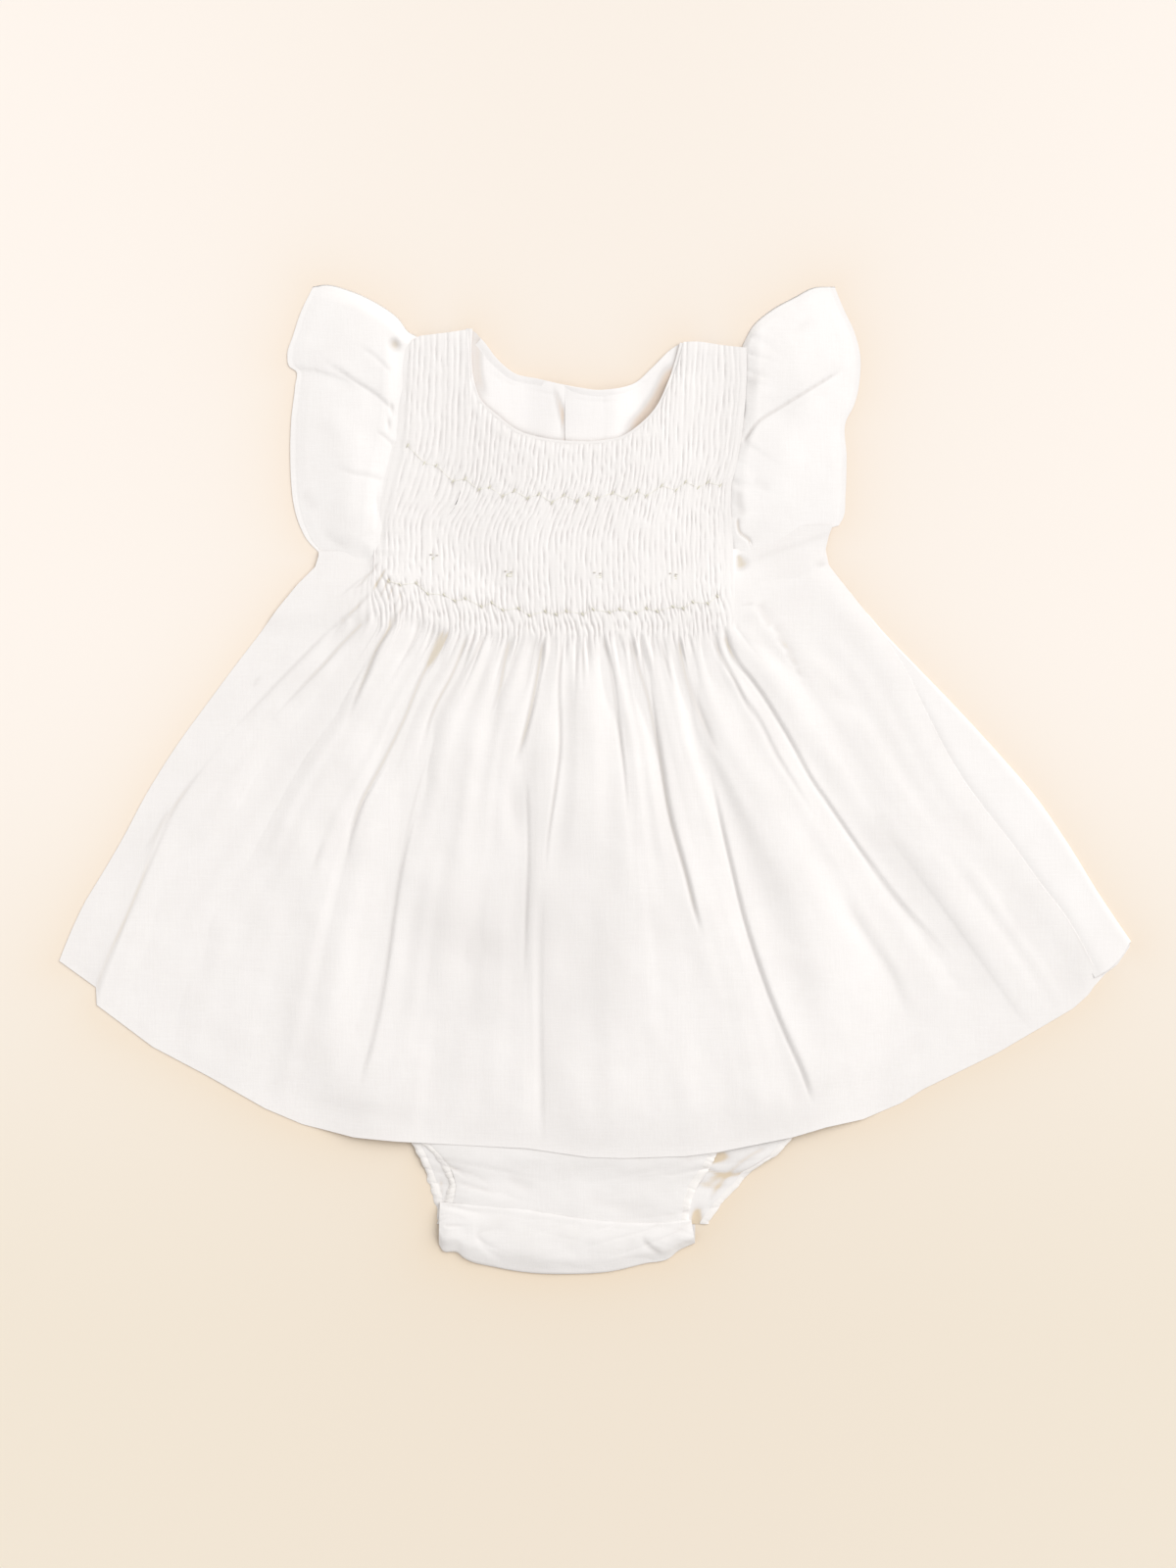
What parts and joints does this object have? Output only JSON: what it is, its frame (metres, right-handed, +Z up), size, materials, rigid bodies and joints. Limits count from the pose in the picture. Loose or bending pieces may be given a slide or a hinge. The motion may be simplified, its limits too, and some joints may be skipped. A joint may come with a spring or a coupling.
{
  "type": "toddler dress",
  "caption": "Smocked toddler dress laid flat, front up: ruffled sleeves, round neck with a centre-back opening, pleated skirt and a built-in bloomer below the hem.",
  "frame": {"origin": "middle of the footprint, on the surface that the dress lies on", "axes": "+X to the right of the shown front, across the skirt; +Y from the hem to the neck; +Z up from the surface, out of the front"},
  "size_m": [0.5489, 0.5056, 0.0087],
  "materials": {
    "smocked_linen": "matte washed linen gathered into fine smocked pleats, released into a soft skirt",
    "washed_linen": "matte washed linen, soft crumple",
    "binding_linen": "matte linen binding, pressed flat and edge-stitched",
    "button_pearl": "soft pearl gloss"
  },
  "bodies": {
    "root": {"front": "smocked_linen", "back_skirt": "washed_linen", "back_bodice_left": "washed_linen", "back_bodice_right": "washed_linen", "neck_binding_front": "binding_linen", "neck_facing_left": "binding_linen", "neck_facing_right": "binding_linen", "sleeve_left": "washed_linen", "sleeve_right": "washed_linen", "bloomer_front": "washed_linen", "bloomer_back": "washed_linen", "bloomer_gusset": "washed_linen", "leg_casing_front_left": "binding_linen", "leg_casing_front_right": "binding_linen", "leg_casing_back_left": "binding_linen", "leg_casing_back_right": "binding_linen", "button_1": "button_pearl", "button_2": "button_pearl", "button_3": "button_pearl"}
  },
  "joints": []
}
